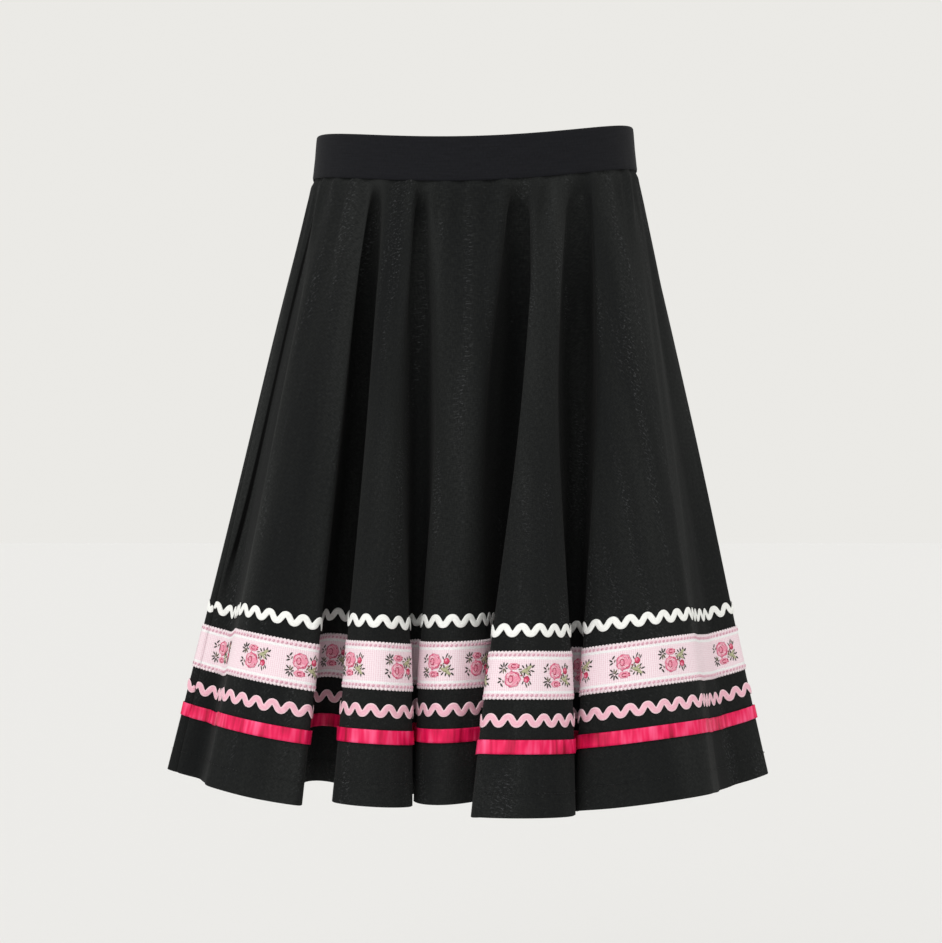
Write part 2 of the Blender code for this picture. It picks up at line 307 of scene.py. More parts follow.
def finishMesh(mesh, uv):
    mesh.polygons.foreach_set("use_smooth", [True] * len(mesh.polygons))
    if uv is not None:
        layer = mesh.uv_layers.new(name="weave") if "weave" not in mesh.uv_layers else mesh.uv_layers["weave"]
        layer.data.foreach_set("uv", np.asarray(uv, np.float32)[cornersOf(mesh)].ravel())
    mesh.update()


def dress(piece, slot, *nodes):
    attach(piece, "root")
    if nodes:
        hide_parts(*nodes)
    return piece


def addNode(tree, kind, values=None, **settings):
    made = tree.nodes.new(kind)
    for key, value in settings.items():
        setattr(made, key, value)
    for socket, value in (values or {}).items():
        if isinstance(value, bpy.types.NodeSocket):
            tree.links.new(value, made.inputs[socket])
        else:
            made.inputs[socket].default_value = value
    return made


def outOf(tree, kind, values=None, **settings):
    return addNode(tree, kind, values, **settings).outputs[0]


def mathOf(tree, operation, first, second=0.0, third=0.0):
    return outOf(tree, "ShaderNodeMath", {0: first, 1: second, 2: third}, operation=operation)


def times(tree, first, second):
    return mathOf(tree, "MULTIPLY", first, second)


def vectorOf(tree, x=0.0, y=0.0, z=0.0):
    return outOf(tree, "ShaderNodeCombineXYZ", {0: x, 1: y, 2: z})


def partsOf(tree, vector):
    return addNode(tree, "ShaderNodeSeparateXYZ", {0: vector}).outputs


def placeIn(tree, space):
    return partsOf(tree, addNode(tree, "ShaderNodeTexCoord").outputs[space])


def mixOf(tree, share, below, above, **settings):
    return addNode(tree, "ShaderNodeMix", {0: share, 6: below, 7: above}, data_type="RGBA", **settings).outputs[2]


def rangeOf(tree, value, start, end, low=0.0, high=1.0):
    return outOf(tree, "ShaderNodeMapRange", {0: value, 1: start, 2: end, 3: low, 4: high})


# Finishes. Colours are linear.


def newFinish(name, roughness, sheen, sheenRoughness, specular):
    material = bpy.data.materials.new(name)
    material.use_nodes = True
    shader = material.node_tree.nodes["Principled BSDF"]
    labels = ("Roughness", "Sheen Weight", "Sheen Roughness", "Specular IOR Level")
    for label, value in zip(labels, (roughness, sheen, sheenRoughness, specular)):
        shader.inputs[label].default_value = value
    return material, material.node_tree, shader


def coat(tree, shader, colour, height, distance):
    # the colour, and the bump of its threads
    tree.links.new(colour, shader.inputs["Base Color"])
    bump = addNode(tree, "ShaderNodeBump", {"Height": height, "Distance": distance, "Strength": 1.0})
    tree.links.new(bump.outputs["Normal"], shader.inputs["Normal"])


def noiseOf(tree, across, up, detail=1.0, roughness=0.5):
    # noise with so many grains in a metre of the weave
    place = addNode(tree, "ShaderNodeTexCoord").outputs["UV"]
    spot = outOf(tree, "ShaderNodeMapping", {"Vector": place, "Scale": (across, up, 1)})
    return outOf(tree, "ShaderNodeTexNoise", {"Vector": spot, "Scale": 1.0, "Detail": detail, "Roughness": roughness})


def rampOf(tree, value, *stops):
    ramp = addNode(tree, "ShaderNodeValToRGB", {"Fac": value})
    elements = ramp.color_ramp.elements
    while len(elements) < len(stops):
        elements.new(0.5)
    for element, (place, colour) in zip(elements, stops):
        element.position = place
        element.color = (*colour, 1)
    return ramp.outputs["Color"]


def hangingNoise(tree, across, down):
    # streaks that hang down the cloth and spread with its flare
    place = placeIn(tree, "Object")
    flare = mathOf(tree, "MULTIPLY_ADD", place["Z"], clothFinish["flare"], 1.0)
    right = times(tree, mathOf(tree, "DIVIDE", place["X"], flare), across)
    front = times(tree, mathOf(tree, "DIVIDE", place["Y"], flare), across)
    spot = vectorOf(tree, right, front, times(tree, place["Z"], down))
    return outOf(tree, "ShaderNodeTexNoise", {"Vector": spot, "Scale": 1.0, "Detail": 2.0, "Roughness": 0.5})


black, white = (0, 0, 0), (1, 1, 1)
clothFinish = {
    "dark": (0.0088, 0.0094, 0.0098),
    "middle": (0.0130, 0.0139, 0.0138),
    "light": (0.0225, 0.0238, 0.0234),
    # pale slub threads, partly a painted glint
    "slubAndGlint": (0.080, 0.083, 0.086, 1),
    # the colour of the painted shadow along the left seam
    "seam": (0.0004, 0.0004, 0.0005, 1),
    "threads": 1300.0,  # in a metre
    "grains": 260.0,
    # streaks in a metre round and down, and slubs with their painted glints across and along
    "shades": (34.0, 3.0),
    "streaks": (90.0, 6.0),
    "slubsAndGlints": (330.0, 620.0),
    "flare": -1.68,  # growth of the girth for each metre of z
    "shadeShare": 0.80,
    "slubAndGlintShare": 0.70,
    # levels of y that the left seam's painted shadow keeps, its half widths, and the heights between which it fades
    "seamShadowLine": {
        "slope": -0.058, "atTop": -0.0336, "front": -0.040, "side": -0.0120, "core": 0.0010, "edge": 0.0021,
        "fadeFrom": -0.345, "fadeTo": -0.395, "leftOf": -0.12,
    },
}


def seamShadow(tree):
    # the painted shadow of the left seam: a dark line which swings to the front above the trims
    place, line = placeIn(tree, "Object"), clothFinish["seamShadowLine"]
    level = mathOf(tree, "MULTIPLY_ADD", place["Z"], line["slope"], line["atTop"])
    level = mathOf(tree, "MINIMUM", mathOf(tree, "MAXIMUM", level, line["front"]), line["side"])
    away = mathOf(tree, "ABSOLUTE", mathOf(tree, "SUBTRACT", place["Y"], level))
    shadow = rangeOf(tree, away, line["core"], line["edge"], 1.0, 0.0)
    shadow = times(tree, shadow, mathOf(tree, "LESS_THAN", place["X"], line["leftOf"]))
    return times(tree, shadow, rangeOf(tree, place["Z"], line["fadeTo"], line["fadeFrom"]))


def makeClothFinish():
    material, tree, shader = newFinish("blackSlubCloth", 0.90, 0.02, 0.5, 0.04)
    finish = clothFinish
    warp = noiseOf(tree, finish["threads"], finish["grains"])
    weft = noiseOf(tree, finish["grains"], finish["threads"])
    weave = times(tree, mathOf(tree, "ADD", warp, weft), 0.5)
    shades = mathOf(tree, "SUBTRACT", hangingNoise(tree, *finish["shades"]), 0.5)
    tone = mathOf(tree, "MULTIPLY_ADD", shades, finish["shadeShare"], weave)
    colour = rampOf(tree, tone, (0.28, finish["dark"]), (0.50, finish["middle"]), (0.74, finish["light"]))
    # slubs and painted glints: short bright threads, partly real slubs and partly painted highlights, only in some
    # streaks of the cloth
    streaks = rampOf(tree, hangingNoise(tree, *finish["streaks"]), (0.53, black), (0.68, white))
    slubsAndGlints = rampOf(tree, noiseOf(tree, *finish["slubsAndGlints"], 2.0, 0.7), (0.54, black), (0.70, white))
    slubAndGlintMask = times(tree, times(tree, streaks, slubsAndGlints), finish["slubAndGlintShare"])
    # the slubs with their painted glints over the tone, then the painted shadow of the left seam
    colour = mixOf(tree, seamShadow(tree), mixOf(tree, slubAndGlintMask, colour, finish["slubAndGlint"]), finish["seam"])
    coat(tree, shader, colour, mathOf(tree, "MULTIPLY_ADD", slubAndGlintMask, 1.5, weave), 0.0004)
    return material


bandFinish = {"dark": (0.0056, 0.0058, 0.0076), "light": (0.0096, 0.0099, 0.0125), "ribs": 900.0}


def makeBandFinish():
    material, tree, shader = newFinish("bandElasticCloth", 0.80, 0.03, 0.5, 0.10)
    ribs = noiseOf(tree, 60.0, bandFinish["ribs"])
    fine = noiseOf(tree, bandFinish["ribs"], 300.0)
    weave = times(tree, mathOf(tree, "ADD", ribs, fine), 0.5)
    coat(tree, shader, rampOf(tree, weave, (0.3, bandFinish["dark"]), (0.7, bandFinish["light"])), weave, 0.0003)
    return material


paleRimSpan = (0.0014, 0.0026)  # from a braid's middle, where its paler rim begins and where it is whole


def makeThreadFinish(name, colour, shade, roughness=0.7, specular=0.3, along=250.0, across=2200.0, rim=None):
    # plied thread: fine streaks that run along the piece's own u
    material, tree, shader = newFinish(name, roughness, 0.15, 0.4, specular)
    streaks = noiseOf(tree, along, across, 1.5)
    mixed = rampOf(tree, streaks, (0.32, shade), (0.62, colour))
    if rim:
        # paler along both edges
        fromMiddle = mathOf(tree, "ABSOLUTE", placeIn(tree, "UV")["Y"])
        mixed = mixOf(tree, rangeOf(tree, fromMiddle, *paleRimSpan), mixed, (*rim, 1))
    coat(tree, shader, mixed, streaks, 0.0003)
    return material


# the satin's magenta with painted sheen: the light colour is a painted highlight, the deep one painted shade
satinToneAndSheen = {"deep": (0.33, 0.001, 0.026), "middle": (0.82, 0.010, 0.098), "light": (0.99, 0.125, 0.290)}


def makeSatinFinish():
    material, tree, shader = newFinish("magentaSatin", 0.38, 0.0, 0.5, 0.22)
    shader.inputs["Anisotropic"].default_value = 0.5
    streaks = times(tree, noiseOf(tree, 130.0, 22.0, 2.0, 0.6), 0.6)
    tone = mathOf(tree, "ADD", streaks, times(tree, noiseOf(tree, 26.0, 6.0), 0.4))
    finish = satinToneAndSheen
    # streaks of painted highlight and painted shade across the magenta
    colour = rampOf(tree, tone, (0.36, finish["deep"]), (0.50, finish["middle"]), (0.66, finish["light"]))
    coat(tree, shader, colour, noiseOf(tree, 300.0, 3000.0), 0.00012)
    return material


# The woven ribbon: stripes by the distance from its middle, mirrored above and below.
roseFinish = {
    "ground": (0.80, 0.575, 0.645),
    "rib": (0.93, 0.79, 0.84),
    "white": ((0.78, 0.78, 0.79), (0.95, 0.94, 0.94)),
    "edge": ((0.84, 0.62, 0.69), (0.88, 0.68, 0.75)),
    "whiteStripe": (0.0124, 0.0148),
    "edgeStripe": (0.0149, 0.0173),
    "stripeEase": 0.0004,
    "ribs": 560.0,  # in a metre
    "rows": 620.0,
}


def makeRoseGround():
    material, tree, shader = newFinish("roseRibbonGround", 0.6, 0.10, 0.4, 0.35)
    finish, place = roseFinish, placeIn(tree, "UV")
    fromMiddle = mathOf(tree, "ABSOLUTE", place["Y"])
    ribWave = mathOf(tree, "SINE", times(tree, place["X"], 2 * math.pi * finish["ribs"]))
    rowWave = mathOf(tree, "SINE", times(tree, place["Y"], 2 * math.pi * finish["rows"]))
    ribs = mathOf(tree, "MULTIPLY_ADD", mathOf(tree, "MULTIPLY_ADD", rowWave, 0.5, ribWave), 0.33, 0.5)
    grain = noiseOf(tree, 900.0, 900.0)
    threads = mathOf(tree, "MULTIPLY_ADD", grain, 0.5, times(tree, ribs, 0.5))
    colour = rampOf(tree, threads, (0.22, finish["ground"]), (0.66, finish["rib"]))
    for stripe in ("white", "edge"):
        start, end = finish[f"{stripe}Stripe"]
        rise = mathOf(tree, "DIVIDE", mathOf(tree, "SUBTRACT", fromMiddle, start), finish["stripeEase"])
        fall = mathOf(tree, "DIVIDE", mathOf(tree, "SUBTRACT", end, fromMiddle), finish["stripeEase"])
        inside = outOf(tree, "ShaderNodeClamp", {0: mathOf(tree, "MINIMUM", rise, fall)})
        shade, bright = finish[stripe]
        colour = mixOf(tree, inside, colour, rampOf(tree, grain, (0.30, shade), (0.65, bright)))
    coat(tree, shader, colour, threads, 0.0003)
    return material


def makeSprigFinish():
    # embroidery in several threads: the colour of each comes with its shape
    material, tree, shader = newFinish("roseSprigThreads", 0.55, 0.10, 0.4, 0.4)
    thread = addNode(tree, "ShaderNodeAttribute", attribute_name="thread").outputs["Color"]
    grain = noiseOf(tree, 1500.0, 1500.0)
    shade = rampOf(tree, grain, (0.3, (0.62, 0.62, 0.62)), (0.62, white))
    coat(tree, shader, mixOf(tree, 1.0, thread, shade, blend_type="MULTIPLY"), grain, 0.0002)
    return material


clothMaterial, bandMaterial, satinMaterial = makeClothFinish(), makeBandFinish(), makeSatinFinish()
roseGroundMaterial, sprigMaterial = makeRoseGround(), makeSprigFinish()
braidMaterials = {
    "white": makeThreadFinish("whiteBraidThreads", (0.985, 0.99, 0.965), (0.80, 0.81, 0.78)),
    "pink": makeThreadFinish("pinkBraidThreads", (0.90, 0.52, 0.61), (0.78, 0.38, 0.48), rim=(0.96, 0.72, 0.77)),
}
stitchGrain = {"along": 900.0, "across": 900.0}
chainMaterial = makeThreadFinish("dustyPinkThreads", (0.78, 0.46, 0.55), (0.66, 0.32, 0.42), 0.6, 0.35, **stitchGrain)
picotMaterial = makeThreadFinish("palePinkThreads", (0.96, 0.87, 0.89), (0.90, 0.74, 0.79), 0.6, 0.35, **stitchGrain)
blackThreadMaterial = makeThreadFinish(
    "blackThreads", (0.011, 0.011, 0.012), (0.006, 0.006, 0.007), 0.8, 0.1, **stitchGrain
)
print("finishes made")

# Panels of cloth, each one closed wall with a turned hem and a seam allowance at either side.
panelSizes = {
    "wall": 0.0012,
    "hemWall": 0.0007,  # more inside, where the hem is turned up
    "hemEase": 0.0008,
    "hemFoot": 0.0005,  # how far the fold of the hem hangs below its edge
    "columns": 424,
    "firstColumn": 0.006,  # from the seam
    "measuredAbove": 0.12,
    "besideSeam": (0.0, 0.0008, 0.0016, 0.0030),
    "insideSeam": (0.0012, 0.0017, 0.0023, 0.0034),
    "allowance": (0.0015, 0.0040, 0.0080),
    "allowanceGap": 0.00005,
    "cutRadius": 0.775,  # of the ring that each half is cut from, at the hem
    "front": {"flat": (1.30, 0.64), "area": 0.507},
    "back": {"flat": (1.09, 0.60), "area": 0.409},
}
# Rows down the cloth as shares of its length, and the last of them as heights above the hem.
topRows = (-0.010, -0.005, -0.001, 0.002, 0.004, 0.007, 0.011)
panelRows = np.concatenate((topRows, np.linspace(0.016, 0.20, 27), np.linspace(0.212, 0.95, 56)))
hemRows = np.array((0.0212, 0.0206, 0.0198, 0.0190, 0.0130, 0.0070, 0.0025, 0.0008, 0.0))


def ringFaces(numbers, after):
    # quads between rings of vertices and the rings after them
    return np.stack((numbers, np.roll(numbers, -1, 1), np.roll(after, -1, 1), after), -1).reshape(-1, 4)


def addPanel(side):
    sizes = panelSizes
    stations, distances = runAlong(*sides[side], sizes["measuredAbove"])
    total = distances[-1]
    beside, inside, allowance = (np.array(sizes[name]) for name in ("besideSeam", "insideSeam", "allowance"))
    middle = np.linspace(sizes["firstColumn"], total - sizes["firstColumn"], sizes["columns"])
    # each seam allowance goes straight in from the seam
    ends = np.ones(len(allowance))
    along = np.concatenate((0 * ends, beside, middle, (total - beside)[::-1], total * ends))
    shift = np.concatenate((inside[0] * ends, inside - beside, 0 * middle, (beside - inside)[::-1], -inside[0] * ends))
    between = np.zeros(len(along) - 2 * len(allowance))
    lift = np.concatenate((-allowance[::-1], between, -allowance))
    outerShift = np.concatenate((sizes["allowanceGap"] * ends, between, -sizes["allowanceGap"] * ends))
    station = np.interp(along, distances, stations)[:, None]
    lift, shift, outerShift = lift[:, None], shift[:, None], outerShift[:, None]
    length = guideAt(station)[..., 3]
    share = np.concatenate((panelRows + 0 * station, 1 - hemRows / length), 1)
    above = (1 - share) * length
    wall = sizes["wall"] + sizes["hemWall"] * smooth((clothRelief["hemTurn"] - above) / sizes["hemEase"])
    outer = clothSurface(station, share, lift, outerShift)
    inner = clothSurface(station, share, lift - wall, shift)
    foot = clothSurface(station, 1 + sizes["hemFoot"] / length, lift - wall[:, -1:] / 2, (shift + outerShift) / 2)
    section = np.concatenate((outer, foot, inner[:, ::-1]), 1)
    count, size = section.shape[:2]
    numbers = np.arange(count * size).reshape(count, size)
    faces = ringFaces(numbers[:-1], numbers[1:]).tolist()
    deep = outer.shape[1]
    for ring, way in ((numbers[0], -1), (numbers[-1], 1)):
        for row in range(deep - 1):
            faces.append((ring[row], ring[row + 1], ring[size - 2 - row], ring[size - 1 - row])[::way])
        faces.append((ring[deep - 1], ring[deep], ring[deep + 1])[::way])
    # the cut: a part of a ring, unrolled, so that the grain runs as it was cut
    half = total / (sizes["cutRadius"] - sizes["measuredAbove"]) / 2
    angle = ((along / total * 2 - 1) * half)[:, None]
    reach = sizes["cutRadius"] - np.concatenate((above, np.full((count, 1), -sizes["hemFoot"]), above[:, ::-1]), 1)
    uv = np.stack((reach * np.sin(angle), -reach * np.cos(angle)), -1)
    return addMesh(f"{side}Panel", section.reshape(-1, 3), faces, clothMaterial, uv.reshape(-1, 2))


panels = {}
for side in sides:
    panels[side] = addPanel(side)
    print(f"{side} panel: {len(panels[side].data.polygons)} faces")

# The waistband: one ring of covered elastic. Its section goes down the outside and up the inside:
# how far in from the outer face, and how far down as a share of the height.
waistband = {
    "segments": 240,
    "section": (
        (0.0011, 0.000), (0.0004, 0.008), (0.0000, 0.030), (-0.0001, 0.120), (0.0001, 0.500),
        (-0.0001, 0.860), (-0.0002, 0.940), (0.0001, 0.985), (0.0006, 1.000), (0.0011, 0.990),
        (0.0012, 0.900), (0.0018, 0.800), (0.0022, 0.500), (0.0021, 0.060), (0.0018, 0.010),
    ),
    "puckers": ((58, 0.4, 0.00006), (83, 1.9, 0.00004), (23, 3.0, 0.00008)),
    "puckerStart": 0.35,  # of the way down
    "puckerRise": 0.6,
    "joinBearing": 270.0,
    "joinWidth": 0.7,  # in degrees
    "joinDepth": 0.0004,
    "girth": 0.71,
}


def bandSurface(bearing, down, depth):
    # a point of the band: down is the share of its height, depth goes inwards
    bearing, down, depth = np.broadcast_arrays(bearing, down, depth)
    top, bottom = waistPoints(bearing, True), waistPoints(bearing)
    size = np.array((clothForm["waistHalfWidth"], clothForm["waistHalfDepth"]))
    outwards = unit(top[..., :2] / size**2)
    angle = np.radians(bearing)
    amount = smooth((down - waistband["puckerStart"]) / waistband["puckerRise"])
    pucker = 0
    for count, phase, height in waistband["puckers"]:
        pucker = pucker + height * np.cos(count * angle + phase + np.sin(4 * angle)) * amount
    away = ((bearing - waistband["joinBearing"] + 180) % 360 - 180) / waistband["joinWidth"]
    pucker = pucker - waistband["joinDepth"] * np.exp(-(away**2))
    point = top + (bottom - top) * down[..., None]
    point[..., :2] += outwards * (pucker - depth)[..., None]
    return point


def addWaistband():
    section = np.array(waistband["section"])
    count, size = waistband["segments"], len(section)
    bearings = np.arange(count) * 360 / count
    points = bandSurface(bearings[:, None], section[:, 1], section[:, 0])
    numbers = np.arange(count * size).reshape(count, size)
    faces = ringFaces(numbers, np.roll(numbers, -1, 0))
    piece = addMesh("waistband", points.reshape(-1, 3), faces, bandMaterial)
    # the weave goes once round, so each corner takes its own turn
    corners = cornersOf(piece.data).reshape(-1, 4)
    ring, place = corners // size, corners % size
    ring = np.where((ring == 0) & (ring.max(1, keepdims=True) == count - 1), count, ring)
    uv = np.stack((ring * waistband["girth"] / count, -section[place, 1] * clothForm["bandHeight"]), -1)
    layer = piece.data.uv_layers.new(name="weave")
    layer.data.foreach_set("uv", uv.astype(np.float32).ravel())
    return piece


waistbandPiece = addWaistband()
print("waistband made")

socketKinds = {float: "Float", int: "Int", bool: "Bool"}


def newTree(name, inputs):
    # each input has its default value, or else the name of its kind
    tree = bpy.data.node_groups.new(name, "GeometryNodeTree")
    tree.interface.new_socket("Geometry", in_out="OUTPUT", socket_type="NodeSocketGeometry")
    for label, value in inputs.items():
        kind = value if isinstance(value, str) else socketKinds[type(value)]
        socket = tree.interface.new_socket(label, in_out="INPUT", socket_type=f"NodeSocket{kind}")
        if kind != value:
            socket.default_value = value
    return tree, tree.nodes.new("NodeGroupInput").outputs


def endTree(tree, geometry, material):
    real = outOf(tree, "GeometryNodeRealizeInstances", {"Geometry": geometry})
    coated = outOf(tree, "GeometryNodeSetMaterial", {"Geometry": real, "Material": material})
    out = tree.nodes.new("NodeGroupOutput")
    tree.links.new(coated, out.inputs[0])
    return tree


def positionIn(tree):
    return partsOf(tree, outOf(tree, "GeometryNodeInputPosition"))


def lineOf(tree, count, start, pitch):
    # points in a row along x
    return outOf(
        tree, "GeometryNodeMeshLine", {"Count": count, "Start Location": start, "Offset": vectorOf(tree, pitch)}
    )


def joinOf(tree, *geometries):
    join = addNode(tree, "GeometryNodeJoinGeometry")
    for geometry in geometries:
        tree.links.new(geometry, join.inputs[0])
    return join.outputs[0]


def storeOf(tree, geometry, name, value):
    values = {"Geometry": geometry, "Name": name, "Value": value}
    return outOf(tree, "GeometryNodeStoreNamedAttribute", values, data_type="FLOAT", domain="POINT")


def bakeTree(name, tree, values):
    # runs a tree with these inputs and keeps the result as a plain mesh
    piece = addObject(name, bpy.data.meshes.new(name))
    modifier = piece.modifiers.new("shape", "NODES")
    modifier.node_group = tree
    for item in tree.interface.items_tree:
        if item.item_type == "SOCKET" and item.in_out == "INPUT" and item.name in values:
            modifier[item.identifier] = values[item.name]
    graph = bpy.context.evaluated_depsgraph_get()
    graph.update()
    made = bpy.data.meshes.new_from_object(piece.evaluated_get(graph), preserve_all_data_layers=True, depsgraph=graph)
    piece.modifiers.remove(modifier)
    piece.data = made
    made.name = name
    return piece


def pointsOf(mesh):
    points = np.empty(len(mesh.vertices) * 3, np.float32)
    mesh.vertices.foreach_get("co", points)
    return points.reshape(-1, 3).astype(float)


def movePoints(mesh, points):
    mesh.vertices.foreach_set("co", points.astype(np.float32).ravel())


def numbersOf(mesh, name):
    values = np.empty(len(mesh.vertices), np.float32)
    mesh.attributes[name].data.foreach_get("value", values)
    return values


def lengthAt(side, aboveHem):
    return float(runAlong(*sides[side], aboveHem)[1][-1])


trims = {"front": [], "back": []}


def layTrim(piece, side, trim, uv=None):
    # takes a flat piece, x along the cloth and y up it, lays it on the cloth at the trim's height and dresses it
    stations, distances = runAlong(*sides[side], trim["above"])
    flat = pointsOf(piece.data)
    station = np.interp(flat[:, 0], distances, stations)
    share = 1 - (trim["above"] + flat[:, 1]) / guideAt(station)[:, 3]
    movePoints(piece.data, clothSurface(station, share, trim["lift"] + flat[:, 2]))
    finishMesh(piece.data, flat[:, :2] if uv is None else uv)
    nodes = [f"{trim['node']}_{side}"] if "node" in trim else []
    trims[side].append(dress(piece, trim["slot"], *nodes))


def braidTree():
    # a flat braid that waves from side to side; the third wave makes its turns blunter
    inputs = {
        "Length": 1.0, "Waves": 70.0, "Stops In Wave": 24.0, "Sway": 0.0036, "Third Wave": 0.06,
        "Width": 0.0058, "Thickness": 0.0014, "Material": "Material",
    }
    tree, source = newTree("wavingBraid", inputs)
    line = outOf(tree, "GeometryNodeCurvePrimitiveLine", {"End": vectorOf(tree, source["Length"])})
    stops = mathOf(tree, "MULTIPLY_ADD", source["Waves"], source["Stops In Wave"], 1.0)
    line = outOf(tree, "GeometryNodeResampleCurve", {"Curve": line, "Count": stops})
    x = positionIn(tree)["X"]
    turn = mathOf(tree, "DIVIDE", times(tree, x, source["Waves"]), source["Length"])
    angle = times(tree, turn, 2 * math.pi)
    third = mathOf(tree, "SINE", times(tree, angle, 3.0))
    wave = mathOf(tree, "ADD", mathOf(tree, "SINE", angle), times(tree, third, source["Third Wave"]))
    offset = vectorOf(tree, 0.0, times(tree, wave, source["Sway"]))
    line = outOf(tree, "GeometryNodeSetPosition", {"Geometry": line, "Offset": offset})
    line = outOf(tree, "GeometryNodeSetCurveNormal", {"Curve": line}, mode="Z_UP")
    line = storeOf(tree, line, "alongBraid", addNode(tree, "GeometryNodeSplineParameter").outputs["Length"])
    ring = addNode(tree, "GeometryNodeCurvePrimitiveCircle", {"Resolution": 10, "Radius": 0.5}).outputs["Curve"]
    size = vectorOf(tree, source["Width"], source["Thickness"], 1.0)
    ring = storeOf(tree, outOf(tree, "GeometryNodeTransform", {"Geometry": ring, "Scale": size}), "acrossBraid", x)
    braid = outOf(tree, "GeometryNodeCurveToMesh", {"Curve": line, "Profile Curve": ring, "Fill Caps": True})
    return endTree(tree, braid, source["Material"])


def stripTree():
    # a flat ribbon with puckers across it
    inputs = {
        "Length": 1.0, "Width": 0.04, "Thickness": 0.0005, "Columns": 500, "Rows": 15, "Pucker Depth": 0.0,
        "Pucker Length": 0.008, "Puckers Across": 20.0, "Seed": 1.0, "Material": "Material",
    }
    tree, source = newTree("flatRibbon", inputs)
    counts = {"Vertices X": source["Columns"], "Vertices Y": source["Rows"]}
    grid = outOf(tree, "GeometryNodeMeshGrid", {"Size X": source["Length"], "Size Y": source["Width"], **counts})
    place = positionIn(tree)
    u = mathOf(tree, "DIVIDE", place["X"], source["Pucker Length"])
    v = times(tree, place["Y"], source["Puckers Across"])
    spot = vectorOf(tree, u, v, source["Seed"])
    noise = outOf(tree, "ShaderNodeTexNoise", {"Vector": spot, "Scale": 1.0, "Detail": 1.0})
    height = times(tree, mathOf(tree, "SUBTRACT", noise, 0.5), source["Pucker Depth"])
    offset = vectorOf(tree, times(tree, source["Length"], 0.5), 0.0, height)
    grid = outOf(tree, "GeometryNodeSetPosition", {"Geometry": grid, "Offset": offset})
    rise = {"Mesh": grid, "Offset Scale": source["Thickness"], "Individual": False}
    top = outOf(tree, "GeometryNodeExtrudeMesh", rise, mode="FACES")
    both = joinOf(tree, top, outOf(tree, "GeometryNodeFlipFaces", {"Mesh": grid}))
    whole = outOf(tree, "GeometryNodeMergeByDistance", {"Geometry": both, "Distance": 0.000002})
    return endTree(tree, whole, source["Material"])


def rowTree():
    # a row of stitches, or one on each side of the middle
    inputs = {
        "Length": 1.0, "Pitch": 0.003, "Stitch Length": 0.0022, "Stitch Width": 0.0004, "Stitch Height": 0.0003,
        "From Middle": 0.0, "Both Sides": False, "Lean": 0.0, "Unevenness": 0.05, "Seed": 1, "Material": "Material",
    }
    tree, source = newTree("stitchRow", inputs)
    count = mathOf(tree, "FLOOR", mathOf(tree, "DIVIDE", source["Length"], source["Pitch"]))
    pitch = mathOf(tree, "DIVIDE", source["Length"], count)
    start = times(tree, pitch, 0.5)
    lines = []
    for sign in (1.0, -1.0):
        place = vectorOf(tree, start, times(tree, source["From Middle"], sign))
        lines.append(lineOf(tree, count, place, pitch))
    choice = {"Switch": source["Both Sides"], "True": lines[1]}
    points = joinOf(tree, lines[0], outOf(tree, "GeometryNodeSwitch", choice, input_type="GEOMETRY"))
    bead = outOf(tree, "GeometryNodeMeshIcoSphere", {"Radius": 0.5, "Subdivisions": 1})
    size = vectorOf(tree, source["Stitch Length"], source["Stitch Width"], source["Stitch Height"])
    bead = outOf(tree, "GeometryNodeTransform", {"Geometry": bead, "Scale": size})
    lowest = mathOf(tree, "SUBTRACT", source["Lean"], source["Unevenness"])
    highest = mathOf(tree, "ADD", source["Lean"], source["Unevenness"])
    spread = {2: lowest, 3: highest, "Seed": source["Seed"]}
    lean = addNode(tree, "FunctionNodeRandomValue", spread, data_type="FLOAT").outputs[1]
    stitches = {"Points": points, "Instance": bead, "Rotation": vectorOf(tree, 0.0, 0.0, lean)}
    return endTree(tree, outOf(tree, "GeometryNodeInstanceOnPoints", stitches), source["Material"])


def sprigTree():
    # two sprigs by turns, a pitch apart
    inputs = {
        "Pitch": 0.04, "Start": 0.02, "Count": 36, "Sprig": "Object", "Turned Sprig": "Object", "Material": "Material",
    }
    tree, source = newTree("sprigRow", inputs)
    points = lineOf(tree, source["Count"], vectorOf(tree, source["Start"]), source["Pitch"])
    turn = mathOf(tree, "MODULO", outOf(tree, "GeometryNodeInputIndex"), 2.0)
    odd = outOf(tree, "FunctionNodeCompare", {2: turn, 3: 1}, data_type="INT", operation="EQUAL")
    even = outOf(tree, "FunctionNodeBooleanMath", {0: odd}, operation="NOT")
    rows = []
    for label, chosen in (("Sprig", even), ("Turned Sprig", odd)):
        shape = addNode(tree, "GeometryNodeObjectInfo", {"Object": source[label]}, transform_space="ORIGINAL")
        row = {"Points": points, "Selection": chosen, "Instance": shape.outputs["Geometry"]}
        rows.append(outOf(tree, "GeometryNodeInstanceOnPoints", row))
    return endTree(tree, joinOf(tree, *rows), source["Material"])


braidNodes, stripNodes, rowNodes, sprigNodes = braidTree(), stripTree(), rowTree(), sprigTree()

# In the settings of the trims, keys with capitals are inputs of their trees.
# Ric-rac braids, which differ in height and colour.
ricRac = {
    "above": {"white": 0.148, "pink": 0.076},
    "lift": 0.0007,
    "wave": 0.0146,
    "width": 0.0118,  # over the waves
    "Width": 0.0055,  # of the braid itself
    "Thickness": 0.0010,
}
for colour, above in ricRac["above"].items():
    trim = {**ricRac, "above": above, "slot": f"{colour}_braid", "node": f"{colour}_ricrac"}
    for side in sides:
        length = lengthAt(side, above)
        shape = {
            **trim,
            "Length": length,
            "Waves": float(round(length / trim["wave"])),
            "Sway": (trim["width"] - trim["Width"]) / 2,
            "Material": braidMaterials[colour],
        }
        piece = bakeTree(f"{colour}RicRac_{side}", braidNodes, shape)
        uv = np.stack((numbersOf(piece.data, "alongBraid"), numbersOf(piece.data, "acrossBraid")), -1)
        layTrim(piece, side, trim, uv)
print("ric-rac laid")

